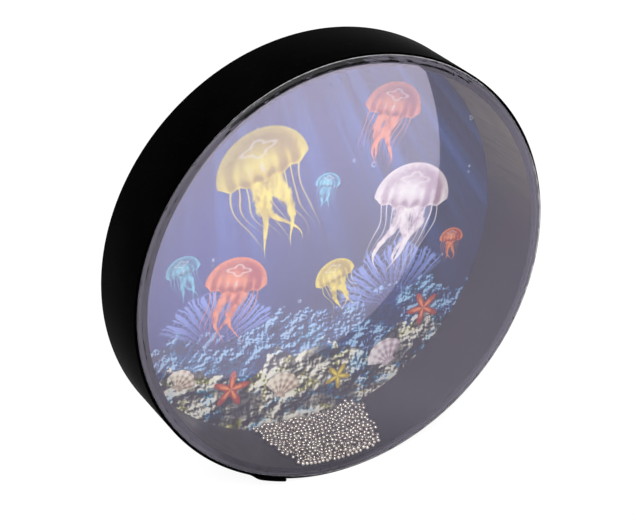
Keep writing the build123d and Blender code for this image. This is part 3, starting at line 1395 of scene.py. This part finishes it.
@dataclass(frozen=True)
class UnderwaterPrint:
    """Printed underwater scene: blue water with light from above, jellyfish, and a reef with sea stars.

    Places on the sheet are in millimetres, scales of noises in waves per metre.
    """

    royal: Colour = (0.012, 0.034, 0.235)
    navy: Colour = (0.012, 0.026, 0.082)
    water_slant: float = 0.6
    water_range: Span = (-120.0, 90.0)
    light: Colour = (0.05, 0.15, 0.5)
    light_source: Point = (-70.0, 330.0)
    light_shafts: float = 17.0
    light_edge: Span = (0.42, 0.7)
    light_rise: Span = (-90.0, 110.0)
    light_share: float = 0.65
    bubble_colour: Colour = (0.6, 0.78, 0.95)
    bubble_scale: tuple[float, ...] = (140.0, 0.0, 140.0)
    bubble_pick: Span = (0.45, 1.0)
    bubble_size: float = 0.3
    bubble_least: Span = (0.03, 0.08)
    bubble_edge: float = 0.05
    bubble_ring: Span = (0.16, 0.04)
    bubble_columns: tuple[float, ...] = (66.0, 0.0, 8.0)
    bubble_column_edge: Span = (0.57, 0.64)
    bubble_rise: Span = (-70.0, -40.0)
    bubble_share: float = 0.7
    roughness: float = 0.42
    gloss: float = 0.25
    yellow: Tints = ((0.46, 0.3, 0.01), (0.92, 0.76, 0.08))
    white: Tints = ((0.44, 0.27, 0.36), (0.95, 0.88, 0.86))
    orange: Tints = ((0.42, 0.04, 0.02), (0.92, 0.3, 0.1))
    aqua: Tints = ((0.01, 0.12, 0.3), (0.18, 0.6, 0.75))
    violet: Tints = ((0.04, 0.06, 0.3), (0.25, 0.36, 0.8))
    cream: Tints = ((0.35, 0.2, 0.12), (0.95, 0.86, 0.7))

    def water(self, painter: Painter, u: Field, v: Field) -> Field:
        """Paint the open water with shafts of light.

        Args:
            painter: what makes the nodes.
            u: place across the sheet.
            v: place up the sheet.

        Returns:
            The colour of the water.
        """
        fade = painter.smooth(u - v * self.water_slant, *self.water_range)
        base = painter.mix(fade, self.royal, self.navy)
        across, up = self.light_source
        fan = painter.math("ARCTAN2", u - across, up - v) * self.light_shafts
        shafts = painter.smooth(painter.waver(fan, detail=2.0), *self.light_edge)
        amount = shafts * painter.smooth(v, *self.light_rise) * self.light_share
        return painter.mix(amount, base, self.light)

    def bubbles(self, painter: Painter, under: Field, v: Field) -> Field:
        """Paint columns of bubbles that rise from the reef.

        Args:
            painter: what makes the nodes.
            under: what is painted already.
            v: place up the sheet.

        Returns:
            The colour with the bubbles on it.
        """
        distance, pick = painter.cells(painter.mapped(painter.spot(), self.bubble_scale))
        columns = painter.noise(painter.mapped(painter.spot(), self.bubble_columns), 1.0)
        size = painter.smooth(pick, *self.bubble_pick) * self.bubble_size
        inner, outer = (size - off for off in self.bubble_ring)
        disc = painter.smooth(distance, size, size - self.bubble_edge)
        ring = disc * painter.smooth(distance, inner, outer)
        rising = painter.smooth(columns, *self.bubble_column_edge) * painter.smooth(v, *self.bubble_rise)
        large = painter.smooth(size, *self.bubble_least) * self.bubble_share
        return painter.mix(ring * rising * large, under, self.bubble_colour)

    def banks(self) -> tuple[ReefBank, ReefBank]:
        """Lay out the reef.

        Returns:
            The far bank, hazy blue, and the near bank in full colour.
        """
        far = ReefBank(
            top=-52.0, roll=60.0, grain=15.0, layer=11.0, shown=0.92,
            dark=(0.008, 0.02, 0.075), gleam=(0.5, 0.75, 0.95),
            zones=((0.35, (0.012, 0.07, 0.32)), (0.5, (0.02, 0.2, 0.6)), (0.65, (0.08, 0.42, 0.75))),
        )
        near = ReefBank(
            top=-84.0, roll=66.0, grain=19.0, layer=40.0, shown=1.0,
            dark=SHADE, gleam=(0.98, 0.96, 0.86),
            zones=(
                (0.3, (0.01, 0.18, 0.65)), (0.4, (0.02, 0.5, 0.85)), (0.46, (0.72, 0.68, 0.5)),
                (0.54, (0.98, 0.95, 0.8)), (0.6, (0.66, 0.62, 0.05)), (0.7, (0.34, 0.4, 0.03)),
                (0.78, (0.01, 0.32, 0.75)),
            ),
        )
        return far, near

    def motifs(self) -> tuple[tuple[Motif, ...], tuple[Motif, ...]]:
        """Lay out the figures.

        Returns:
            The figures behind the near bank, and those before it.
        """
        behind = (
            SeaFan(across=-74.0, up=-62.0, size=46.0, lean=8.0, tints=self.violet, phase=0.7),
            SeaFan(across=66.0, up=-66.0, size=50.0, lean=-10.0, tints=self.violet, phase=4.2),
        )
        before = (
            SeaStar(across=-62.0, up=-98.0, size=15.0, lean=12.0, tints=self.orange),
            SeaStar(across=92.0, up=-76.0, size=14.0, lean=-20.0, tints=self.orange),
            SeaStar(across=22.0, up=-112.0, size=11.0, lean=34.0, tints=self.yellow),
            Scallop(across=-22.0, up=-106.0, size=11.0, lean=18.0, tints=self.cream),
            Scallop(across=60.0, up=-104.0, size=12.0, lean=-24.0, tints=self.white),
            Scallop(across=-98.0, up=-80.0, size=9.0, lean=40.0, tints=self.cream),
            Jelly(across=14.0, up=40.0, size=10.0, lean=14.0, tints=self.aqua, phase=0.4),
            Jelly(across=-94.0, up=2.0, size=13.0, lean=-10.0, tints=self.aqua, phase=1.9),
            Jelly(across=114.0, up=-26.0, size=10.0, lean=8.0, tints=self.orange, phase=2.7),
            Jelly(across=20.0, up=-32.0, size=16.0, lean=-16.0, tints=self.yellow, phase=0.9),
            Jelly(across=64.0, up=84.0, size=23.0, lean=20.0, tints=self.orange, phase=3.3),
            Jelly(across=-56.0, up=-18.0, size=24.0, lean=14.0, tints=self.orange, phase=4.1),
            Jelly(across=80.0, up=14.0, size=31.0, lean=14.0, tints=self.white, phase=5.0),
            Jelly(across=-34.0, up=62.0, size=35.0, lean=-12.0, tints=self.yellow, phase=2.1),
        )
        return behind, before

    def material(self) -> bpy.types.Material:
        """Make the material.

        Returns:
            The material.
        """
        painter = MaterialPainter("underwater_print")
        u, _, v = painter.place()
        far, near = self.banks()
        behind, before = self.motifs()
        painted = far.paint(painter, self.water(painter, u, v), u, v)
        for motif in behind:
            painted = motif.stamp(painter, painted)
        painted = self.bubbles(painter, near.paint(painter, painted, u, v), v)
        for motif in before:
            painted = motif.stamp(painter, painted)
        return painter.finish(painter.surface(
            base_color=painted, roughness=self.roughness, specular_ior_level=self.gloss,
        ))


@dataclass(frozen=True)
class StudioFloor:
    """White paper floor that keeps a soft shadow."""

    paper: Colour = (0.8, 0.8, 0.8)
    own_light: float = 0.93
    shaded_share: float = 0.18

    def material(self) -> bpy.types.Material:
        """Make the material.

        Returns:
            The material.
        """
        painter = MaterialPainter("studio_floor")
        paper = painter.node("ShaderNodeBsdfDiffuse")
        painter.feed(paper.inputs["Color"], self.paper)
        glow = painter.node("ShaderNodeEmission")
        lit_share = 1 - self.shaded_share
        painter.feed(glow.inputs["Strength"], self.own_light / lit_share)
        return painter.finish(painter.blend(scene_rays(painter) * lit_share, paper, glow))


@dataclass(frozen=True)
class PanelGlow:
    """Evenly glowing cloth of a round lamp, brighter towards its top."""

    upper: float = 4.0
    lower: float = 1.6

    def material(self) -> bpy.types.Material:
        """Make the material.

        Returns:
            The material.
        """
        painter = MaterialPainter("panel_glow")
        coordinates = painter.node("ShaderNodeTexCoord")
        _, height, _ = painter.parts(Field(painter, coordinates.outputs["Generated"]))
        glow = painter.node("ShaderNodeEmission")
        painter.feed(glow.inputs["Strength"], height * (self.upper - self.lower) + self.lower)
        return painter.finish(glow)


def node_points(node: str) -> np.ndarray:
    """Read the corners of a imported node.

    Args:
        node: the node's name.

    Returns:
        One row of X, Y and Z for each corner.
    """
    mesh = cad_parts[node].data
    points = np.empty(len(mesh.vertices) * 3)
    mesh.vertices.foreach_get("co", points)
    return points.reshape(-1, 3)


def reaches(node: str) -> np.ndarray:
    """Distances of a node's corners from the axis of the drum."""
    points = node_points(node)
    return np.hypot(points[:, 0], points[:, 2])


@dataclass(frozen=True)
class DrumSizes:
    """Radii and planes of the drum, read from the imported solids, and the slope of the hoop's edge."""

    hoop_inner: float
    hoop_outer: float
    hoop_edge: float
    flat_inner: float
    flat_outer: float
    film_outer: float
    film_thickness: float
    head_face: float
    collar_end: float
    strip_inner: float
    strip_outer: float
    strip_edge: float
    lap_outer: float
    lap_end: float
    lap_start: float
    print_radius: float
    print_near: float
    print_far: float
    edge_slope: float = 0.14

    def fall(self, radius: float) -> float:
        """How far the hoop's edge falls away from its inner rim at a radius."""
        return max(0.0, radius - self.flat_inner) * self.edge_slope

    @classmethod
    def read(cls) -> "DrumSizes":
        """Read the sizes from the frame.

        Returns:
            The sizes.
        """
        hoop, film, strip, glue = (
            reaches(node) for node in ("shell", "front_head", "outer_wrap", "front_edge_glue"))
        head_low, head_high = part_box("front_head")
        glue_low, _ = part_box("front_edge_glue")
        print_low, print_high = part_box("picture_sheet")
        thinnest_strip = 0.5 * MM
        lowest_lap = 1.2 * MM
        strip_inner = float(strip.min())
        strip_outer = float(np.median(strip[strip > strip_inner + thinnest_strip]))
        lap = node_points("outer_wrap")[strip > strip_outer + lowest_lap]
        lap_turns = np.degrees(np.arctan2(-lap[:, 0], -lap[:, 2]))
        return cls(
            hoop_inner=float(hoop.min()),
            hoop_outer=float(hoop.max()),
            hoop_edge=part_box("shell")[1].y,
            flat_inner=float(glue.min()),
            flat_outer=float(glue.max()),
            film_outer=float(film.max()),
            film_thickness=glue_low.y - head_low.y,
            head_face=-head_low.y,
            collar_end=-head_high.y,
            strip_inner=strip_inner,
            strip_outer=strip_outer,
            strip_edge=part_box("outer_wrap")[1].y,
            lap_outer=float(strip.max()),
            lap_end=float(lap_turns.min()),
            lap_start=float(lap_turns.max()),
            print_radius=float(reaches("picture_sheet").max()),
            print_near=print_low.y,
            print_far=print_high.y,
        )


def rounded_outline(corners: Sequence[tuple[float, float, float]], steps: int = 6) -> list[Point]:
    """Round the corners of a closed outline.

    Args:
        corners: radius, place along the axis, and rounding of each corner; no rounding leaves it sharp.
        steps: how many steps a rounding takes.

    Returns:
        The points of the outline.
    """
    outline = []
    for index, (radius, along, rounding) in enumerate(corners):
        corner = Vector((radius, along))
        if rounding == 0:
            outline.append((radius, along))
            continue
        before = (Vector(corners[index - 1][:2]) - corner).normalized()
        after = (Vector(corners[(index + 1) % len(corners)][:2]) - corner).normalized()
        half = before.angle(after) / 2
        centre = corner + (before + after).normalized() * (rounding / math.sin(half))
        start = corner + before * (rounding / math.tan(half)) - centre
        end = corner + after * (rounding / math.tan(half)) - centre
        for step in range(steps + 1):
            spoke = start.slerp(end, step / steps) * rounding
            outline.append((centre.x + spoke.x, centre.y + spoke.y))
    return outline


def plain_mesh(form: bmesh.types.BMesh, name: str) -> bpy.types.Mesh:
    """Turn a built form into a mesh.

    Args:
        form: the form, which is freed.
        name: the mesh's name.

    Returns:
        The mesh.
    """
    mesh = bpy.data.meshes.new(name)
    form.to_mesh(mesh)
    form.free()
    return mesh


def smooth_mesh(form: bmesh.types.BMesh, name: str, crease: float = 40.0) -> bpy.types.Mesh:
    """Turn a built form into a mesh that is shaded smooth up to its creases.

    Args:
        form: the form, which is freed.
        name: the mesh's name.
        crease: edges that bend by more than this many degrees stay sharp.

    Returns:
        The mesh.
    """
    bmesh.ops.recalc_face_normals(form, faces=form.faces)
    mesh = plain_mesh(form, name)
    mesh.shade_smooth()
    mesh.set_sharp_from_angle(angle=math.radians(crease))
    return mesh


def bridge(form: bmesh.types.BMesh, ring: Sequence[bmesh.types.BMVert],
           following: Sequence[bmesh.types.BMVert]) -> None:
    """Join two rings of corners with faces. Where corners fall together, a face has fewer sides.

    Args:
        form: the form that the rings are in.
        ring: the corners of one ring.
        following: the corners of the next ring.
    """
    for step in range(len(ring)):
        ahead = (step + 1) % len(ring)
        corners = dict.fromkeys((ring[step], ring[ahead], following[ahead], following[step]))
        if len(corners) > 2:
            form.faces.new(list(corners))


def turned_mesh(name: str, outline: Sequence[Point], segments: int = 360,
                warp: Optional[Warp] = None) -> bpy.types.Mesh:
    """Turn a closed outline about the drum's axis.

    Args:
        name: the mesh's name.
        outline: radius and place along the axis of each point.
        segments: how many steps the turn takes.
        warp: moves a point, given its radius, its place along the axis and its angle.

    Returns:
        The mesh.
    """
    form = bmesh.new()
    rings = []
    for radius, along in outline:
        if radius == 0:
            rings.append([form.verts.new((0, along, 0))] * segments)
            continue
        ring = []
        for step in range(segments):
            turn = math.tau * step / segments
            out, at = warp(radius, along, turn) if warp else (radius, along)
            ring.append(form.verts.new((out * math.sin(turn), at, out * math.cos(turn))))
        rings.append(ring)
    for ring, following in zip(rings, rings[1:] + rings[:1]):
        bridge(form, ring, following)
    return smooth_mesh(form, name)


def put(data: bpy.types.ID) -> bpy.types.Object:
    """Put a mesh, a lamp or a camera into the scene.

    Args:
        data: what is put there, whose name the object takes.

    Returns:
        The object.
    """
    thing = bpy.data.objects.new(data.name, data)
    bpy.context.scene.collection.objects.link(thing)
    return thing


def add_piece(mesh: bpy.types.Mesh, material: bpy.types.Material, body: str,
              node: str) -> bpy.types.Object:
    """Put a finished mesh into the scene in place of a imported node.

    Args:
        mesh: the mesh, whose name the piece takes.
        material: its finish.
        body: the body that it moves with.
        node: the node that it stands for.

    Returns:
        The piece.
    """
    piece = put(mesh)
    mesh.materials.append(material)
    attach(piece, body)
    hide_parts(node)
    log.info("%s: %d faces on %s", piece.name, len(mesh.polygons), body)
    return piece


@dataclass
class Hoop:
    """The rigid hoop, rounded outside and bevelled inside."""

    sizes: DrumSizes
    eased_edge: float = 0.6 * MM

    def build(self, finish: HoopStain) -> bpy.types.Object:
        """Make the hoop and stain it.

        Args:
            finish: the hoop's finish.

        Returns:
            The piece.
        """
        sizes = self.sizes
        bevel = sizes.flat_inner - sizes.hoop_inner
        outer_round = sizes.hoop_outer - sizes.flat_outer
        half = [
            (sizes.hoop_inner, sizes.hoop_edge - bevel, self.eased_edge),
            (sizes.flat_inner, sizes.hoop_edge, self.eased_edge),
            (sizes.hoop_outer, sizes.hoop_edge - sizes.fall(sizes.hoop_outer), outer_round),
        ]
        corners = [(radius, -along, rounding) for radius, along, rounding in half] + half[::-1]
        mesh = turned_mesh("hoop_body", rounded_outline(corners))
        return add_piece(mesh, finish.material(), DRUM_BODY, "shell")


@dataclass
class Covering:
    """The covering: one strip that goes once round the drum and laps over its own start."""

    sizes: DrumSizes
    edge_round: float = 0.35 * MM
    station_step: float = 1.0
    ramp_length: float = 12.0 * MM
    end_bevel: float = 0.6 * MM
    end_bevel_share: float = 0.25
    crease: float = 50.0

    def station_radius(self, travelled: float) -> float:
        """Follow the middle of the strip.

        Args:
            travelled: how far the strip has gone round, in degrees.

        Returns:
            The radius there.
        """
        sizes = self.sizes
        thickness = sizes.strip_outer - sizes.strip_inner
        ramp = math.degrees(self.ramp_length / sizes.strip_outer)
        rise = eased((travelled - 360 + ramp) / ramp)
        return sizes.strip_inner + thickness / 2 + rise * (sizes.lap_outer - sizes.strip_outer)

    def build(self, finish: GrainedCovering) -> bpy.types.Object:
        """Make the strip and give it its grain.

        Args:
            finish: the covering's finish.

        Returns:
            The piece.
        """
        sizes = self.sizes
        half_thickness = (sizes.strip_outer - sizes.strip_inner) / 2
        section = rounded_outline([
            (side * half_thickness, end * sizes.strip_edge, self.edge_round)
            for side, end in ((-1, -1), (1, -1), (1, 1), (-1, 1))
        ], steps=4)
        whole = 360 + sizes.lap_start - sizes.lap_end
        bevel = math.degrees(self.end_bevel / sizes.lap_outer)
        stations = [*np.arange(0, whole - bevel, self.station_step), whole - bevel, whole]
        form = bmesh.new()
        rings = []
        for travelled in stations:
            turn = math.radians(sizes.lap_start - travelled)
            middle = self.station_radius(travelled)
            ring = []
            for out, along in section:
                if travelled == whole and out > 0:
                    out *= self.end_bevel_share
                ring.append(form.verts.new(
                    (-(middle + out) * math.sin(turn), along, -(middle + out) * math.cos(turn))))
            rings.append(ring)
        for ring, following in zip(rings, rings[1:]):
            bridge(form, ring, following)
        for end in (rings[0], rings[-1]):
            form.faces.new(end)
        mesh = smooth_mesh(form, "covering_strip", crease=self.crease)
        return add_piece(mesh, finish.material(), DRUM_BODY, "outer_wrap")


@dataclass
class FilmHead:
    """A head: film stretched flat, folded over the hoop's edge into a collar."""

    sizes: DrumSizes
    side: Side
    fold: float = 0.6 * MM
    bend: float = 2.0 * MM
    lip: float = 1.6 * MM
    lip_gap: float = 0.06 * MM
    lip_edge_round: float = 0.1 * MM
    lip_stretch: Arc = Arc(132.0, 78.0)
    tucked_lip: float = 0.15
    top_lip: float = 0.45
    top_drift: float = 1.8 * MM
    top_stretch: Arc = Arc(0.0, 62.0)
    collar_edge_round: float = 0.1 * MM
    flat_rings: tuple[float, ...] = (0.25, 0.5, 0.75, 0.9, 0.95)

    def warp(self, radius: float, along: float, turn: float) -> Point:
        """Let the film bend further out at the top, and its lip stand out most at the lower right.

        Args:
            radius: radius of the point.
            along: its place along the axis.
            turn: its angle.

        Returns:
            The radius and the place of the moved point.
        """
        sizes, degrees = self.sizes, math.degrees(turn)
        at_top = self.top_stretch.share(degrees)
        if abs(radius - sizes.flat_inner) < self.fold:
            radius += self.top_drift * at_top
        elif radius > sizes.film_outer - self.fold and abs(along) > sizes.strip_edge:
            radius += self.lip * max(self.tucked_lip, self.lip_stretch.share(degrees), self.top_lip * at_top)
        return radius, along

    def build(self, finish: ClearFilm, slot: str) -> bpy.types.Object:
        """Make the film.

        Args:
            finish: the film's finish.
            slot: not used.

        Returns:
            The piece.
        """
        sizes, sign = self.sizes, self.side.value
        inner_face = sizes.head_face - sizes.film_thickness
        film_inner = sizes.film_outer - sizes.film_thickness
        lip_round, collar_round = self.lip_edge_round, self.collar_edge_round
        radii = [share * sizes.film_outer for share in self.flat_rings]
        corners = [
            (0, sizes.head_face, 0),
            *((radius, sizes.head_face, 0) for radius in radii),
            (sizes.flat_inner, sizes.head_face, self.bend),
            (sizes.film_outer, sizes.head_face - sizes.fall(sizes.film_outer), lip_round),
            (sizes.film_outer, sizes.strip_edge + self.lip_gap, lip_round),
            (sizes.film_outer, sizes.strip_edge - self.lip_gap, 0),
            (sizes.film_outer, sizes.collar_end, collar_round),
            (film_inner, sizes.collar_end, collar_round),
            (film_inner, inner_face - sizes.fall(film_inner), self.fold - sizes.film_thickness),
            (sizes.flat_inner, inner_face, self.bend),
            *((radius, inner_face, 0) for radius in reversed(radii)),
            (0, inner_face, 0),
        ]
        corners = [(radius, sign * along, rounding) for radius, along, rounding in corners]
        mesh = turned_mesh(f"{self.side.word}_film", rounded_outline(corners, steps=8), warp=self.warp)
        return add_piece(mesh, finish.material(), DRUM_BODY, f"{self.side.word}_head")


@dataclass
class GlueBead:
    """The glue between a head and the hoop's edge, spread unevenly."""

    sizes: DrumSizes
    side: Side
    air: float = 0.02 * MM
    edge_round_share: float = 0.2
    wander: float = 0.21 * MM
    wander_swing: float = 0.14 * MM
    waves: tuple[int, ...] = (7, 17, 31, 53)

    def warp(self, radius: float, along: float, turn: float) -> Point:
        """Let the outer edge of the bead wander.

        Args:
            radius: radius of the point.
            along: its place along the axis.
            turn: its angle.

        Returns:
            The radius and the place of the moved point.
        """
        middle = (self.sizes.flat_inner + self.sizes.flat_outer) / 2
        drift = sum(math.sin(wave * turn + wave * wave) for wave in self.waves) / len(self.waves)
        moved = radius - (self.wander + self.wander_swing * drift) * (radius > middle)
        return moved, along - self.side.value * self.sizes.fall(moved)

    def build(self, material: bpy.types.Material) -> bpy.types.Object:
        """Make the bead of glue.

        Args:
            material: the glue's finish.

        Returns:
            The piece.
        """
        sizes, sign = self.sizes, self.side.value
        low = sizes.hoop_edge + self.air
        high = sizes.head_face - sizes.film_thickness - self.air
        inner = sizes.print_radius + self.air
        rounding = (high - low) * self.edge_round_share
        corners = [(radius, sign * along, rounding) for radius, along in (
            (inner, low), (sizes.flat_outer, low), (sizes.flat_outer, high), (inner, high))]
        mesh = turned_mesh(f"{self.side.word}_glue_bead", rounded_outline(corners, steps=3), warp=self.warp)
        return add_piece(mesh, material, DRUM_BODY, f"{self.side.word}_edge_glue")


@dataclass
class Picture:
    """The printed sheet on the inner side of the back head."""

    sizes: DrumSizes
    air: float = 0.02 * MM
    edge_round_share: float = 0.4

    def build(self, finish: UnderwaterPrint) -> bpy.types.Object:
        """Make the sheet and print on it.

        Args:
            finish: the print.

        Returns:
            The piece.
        """
        radius = self.sizes.print_radius
        near, far = self.sizes.print_near + self.air, self.sizes.print_far - self.air
        edge_round = (far - near) * self.edge_round_share
        corners = [(0, near, 0), (radius, near, edge_round), (radius, far, edge_round), (0, far, 0)]
        mesh = turned_mesh("printed_scene", rounded_outline(corners, steps=2))
        return add_piece(mesh, finish.material(), DRUM_BODY, "picture_sheet")


@dataclass
class BallLane:
    """The loose balls of one lane."""

    lane: Lane
    subdivisions: int = 3

    def balls(self) -> tuple[np.ndarray, float]:
        """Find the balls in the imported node.

        Returns:
            The balls' centres, and their radius.
        """
        points = node_points(self.lane.node)
        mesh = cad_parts[self.lane.node].data
        edges = np.empty(len(mesh.edges) * 2, dtype=np.int64)
        mesh.edges.foreach_get("vertices", edges)
        ends = edges.reshape(-1, 2).T
        label = np.arange(len(points))
        settled = False
        while not settled:
            before = label.copy()
            lower = np.minimum(label[ends[0]], label[ends[1]])
            np.minimum.at(label, ends[0], lower)
            np.minimum.at(label, ends[1], lower)
            label = label[label]
            settled = bool((label == before).all())
        balls = [points[label == island] for island in np.unique(label)]
        centres = np.array([(ball.min(axis=0) + ball.max(axis=0)) / 2 for ball in balls])
        return centres, float(np.ptp(balls[0][:, 1])) / 2

    def build(self, material: bpy.types.Material) -> bpy.types.Object:
        """Make the balls of the lane as one piece.

        Args:
            material: the balls' finish.

        Returns:
            The piece.
        """
        centres, radius = self.balls()
        form = bmesh.new()
        bmesh.ops.create_icosphere(form, subdivisions=self.subdivisions, radius=radius)
        corners = np.array([vert.co for vert in form.verts])
        faces = np.array([[vert.index for vert in face.verts] for face in form.faces])
        form.free()
        points = (centres[:, None] + corners[None]).reshape(-1, 3)
        corner_shift = np.arange(len(centres))[:, None, None] * len(corners)
        mesh = bpy.data.meshes.new(f"steel_balls_{self.lane.name.lower()}")
        mesh.from_pydata(points.tolist(), [], (faces[None] + corner_shift).reshape(-1, 3).tolist())
        mesh.shade_smooth()
        return add_piece(mesh, material, self.lane.body, self.lane.node)


@dataclass
class HiddenLayers:
    """Glue and adhesive layers under the covering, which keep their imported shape."""

    glue_nodes: tuple[str, ...] = ("front_collar_glue", "back_collar_glue")
    adhesive_nodes: tuple[str, ...] = ("wrap_adhesive",)

    def dress(self, glue: bpy.types.Material, adhesive: bpy.types.Material) -> None:
        """Give the layers their finishes.

        Args:
            glue: finish of the glue layers.
            adhesive: finish of the adhesive layer.
        """
        for nodes, material in ((self.glue_nodes, glue), (self.adhesive_nodes, adhesive)):
            for node in nodes:
                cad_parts[node].material_slots[0].material = material
                log.info("%s: packed shape, %s", node, material.name)


@dataclass
class PhotoCamera:
    """The photograph's camera, which looks at the middle of the drum."""

    image_width: int = 636
    image_height: int = 520
    drum_pixel: Point = (328.9, 258.4)
    focal_pixels: float = 1885.5
    sensor_width: float = 36.0
    nearest: float = 10 * MM
    distance: float = 1251.7 * MM
    azimuth: float = 29.3
    elevation: float = 27.96

    @property
    def toward(self) -> Vector:
        """Find the way from the drum to the camera.

        Returns:
            The direction, with a length of 1.
        """
        turn, rise = math.radians(self.azimuth), math.radians(self.elevation)
        level = math.cos(rise)
        return Vector((-math.sin(turn) * level, -math.cos(turn) * level, math.sin(rise)))

    def sight(self, pixel: Point) -> Vector:
        """Look through a pixel of the photograph.

        Args:
            pixel: its place across and down.

        Returns:
            The direction from the camera.
        """
        right = Vector((0, 0, 1)).cross(self.toward).normalized()
        up = self.toward.cross(right)
        across, down = pixel[0] - self.drum_pixel[0], pixel[1] - self.drum_pixel[1]
        return (right * across - up * down - self.toward * self.focal_pixels).normalized()

    def build(self) -> bpy.types.Object:
        """Make the camera and look through it.

        Returns:
            The camera.
        """
        data = bpy.data.cameras.new("photo_camera")
        data.sensor_fit = "HORIZONTAL"
        data.sensor_width = self.sensor_width
        data.lens = self.focal_pixels / self.image_width * self.sensor_width
        data.shift_x = (self.image_width / 2 - self.drum_pixel[0]) / self.image_width
        data.shift_y = (self.drum_pixel[1] - self.image_height / 2) / self.image_width
        data.clip_start = self.nearest
        camera = put(data)
        camera.location = self.toward * self.distance
        camera.rotation_euler = self.toward.to_track_quat("Z", "Y").to_euler()
        bpy.context.scene.camera = camera
        return camera


@dataclass
class Studio:
    """White surroundings, a floor, one large soft lamp, and a round panel that the clear head mirrors.

    Low down before the drum the surroundings are dimmer, by angles in degrees below and beside its axis.
    """

    sizes: DrumSizes
    camera: PhotoCamera
    ambient: float = 0.55
    dim_share: float = 0.46
    dim_down: Span = (32.0, 34.4)
    dim_middle: float = 29.3
    dim_aside: Span = (16.0, 8.0)
    floor_size: float = 12.0
    floor_steps: int = 4
    lamp_place: tuple[float, float, float] = (-0.8, -1.5, 1.7)
    lamp_size: float = 1.1
    lamp_power: float = 47.0
    panel_pixel: Point = (212.7, 151.5)
    panel_pixel_radius: float = 227.7
    panel_distance: float = 1.5
    panel_steps: int = 96

    def world(self) -> None:
        """Surround the drum with white, dimmer low down before it, where the film mirrors it."""
        world = bpy.data.worlds.new("white_surroundings")
        world.use_nodes = True
        bpy.context.scene.world = world
        painter = Painter(world.node_tree)
        background = painter.node("ShaderNodeBackground")
        painter.feed(background.inputs["Color"], (1.0, 1.0, 1.0))
        coordinates = painter.node("ShaderNodeTexCoord")
        x, y, z = painter.parts(Field(painter, coordinates.outputs["Generated"]))
        low = painter.smooth(z, *(-math.sin(math.radians(angle)) for angle in self.dim_down))
        aside = abs(painter.math("ARCTAN2", x, -y) * math.degrees(1.0) - self.dim_middle)
        dim = low * painter.smooth(aside, *self.dim_aside)
        white = scene_rays(painter) * (1 - self.ambient) + self.ambient
        painter.feed(background.inputs["Strength"], white * (1.0 - dim * self.dim_share))
        output = painter.node("ShaderNodeOutputWorld")
        painter.tree.links.new(background.outputs[0], output.inputs["Surface"])

    def floor(self, finish: StudioFloor) -> bpy.types.Object:
        """Lay the floor under the drum.

        Args:
            finish: the floor's finish.

        Returns:
            The floor.
        """
        form = bmesh.new()
        bmesh.ops.create_grid(form, x_segments=self.floor_steps, y_segments=self.floor_steps,
                              size=self.floor_size / 2)
        floor = put(plain_mesh(form, "floor"))
        floor.data.materials.append(finish.material())
        floor.location.z = -self.sizes.strip_outer
        floor.visible_glossy = False
        return floor

    def lamp(self) -> bpy.types.Object:
        """Hang the soft lamp and aim it at the drum.

        Returns:
            The lamp.
        """
        data = bpy.data.lights.new("soft_lamp", "AREA")
        data.shape = "DISK"
        data.size = self.lamp_size
        data.energy = self.lamp_power
        lamp = put(data)
        place = Vector(self.lamp_place)
        lamp.location = place
        lamp.rotation_euler = (-place).to_track_quat("-Z", "Y").to_euler()
        lamp.visible_camera = False
        return lamp

    def panel(self, finish: PanelGlow) -> bpy.types.Object:
        """Set the round panel where the clear head mirrors it into the photograph.

        Args:
            finish: the panel's finish.

        Returns:
            The panel.
        """
        eye = self.camera.toward * self.camera.distance
        sight = self.camera.sight(self.panel_pixel)
        path = (-self.sizes.head_face - eye.y) / sight.y
        mirrored = Vector((sight.x, -sight.y, sight.z))
        radius = self.panel_pixel_radius / self.camera.focal_pixels * (path + self.panel_distance)
        form = bmesh.new()
        bmesh.ops.create_circle(form, cap_ends=True, segments=self.panel_steps, radius=radius)
        panel = put(plain_mesh(form, "round_panel"))
        panel.data.materials.append(finish.material())
        panel.location = eye + sight * path + mirrored * self.panel_distance
        panel.rotation_euler = mirrored.to_track_quat("-Z", "Y").to_euler()
        panel.visible_camera = panel.visible_diffuse = panel.visible_shadow = False
        return panel

    def build(self) -> None:
        """Set up the whole studio."""
        bpy.context.scene.view_settings.view_transform = "Standard"
        self.world()
        self.floor(StudioFloor())
        self.lamp()
        self.panel(PanelGlow())


def main() -> None:
    """Build the studio and then the drum, piece by piece from the hoop outwards and inwards."""
    logging.basicConfig(level=logging.INFO, format="%(name)s %(message)s")
    sizes = DrumSizes.read()
    camera = PhotoCamera()
    camera.build()
    Studio(sizes, camera).build()
    Hoop(sizes).build(HoopStain())
    Covering(sizes).build(GrainedCovering())
    glue = DarkGlue().material()
    for side, slot in ((Side.FRONT, "clear_film"), (Side.BACK, "back_film")):
        GlueBead(sizes, side).build(glue)
        FilmHead(sizes, side).build(ClearFilm(f"{side.word}_clear_film"), slot)
    HiddenLayers().dress(glue, ThinAdhesive().material())
    Picture(sizes).build(UnderwaterPrint())
    steel = PolishedSteel().material()
    for lane in Lane:
        BallLane(lane).build(steel)


if __name__ == "__main__":
    main()
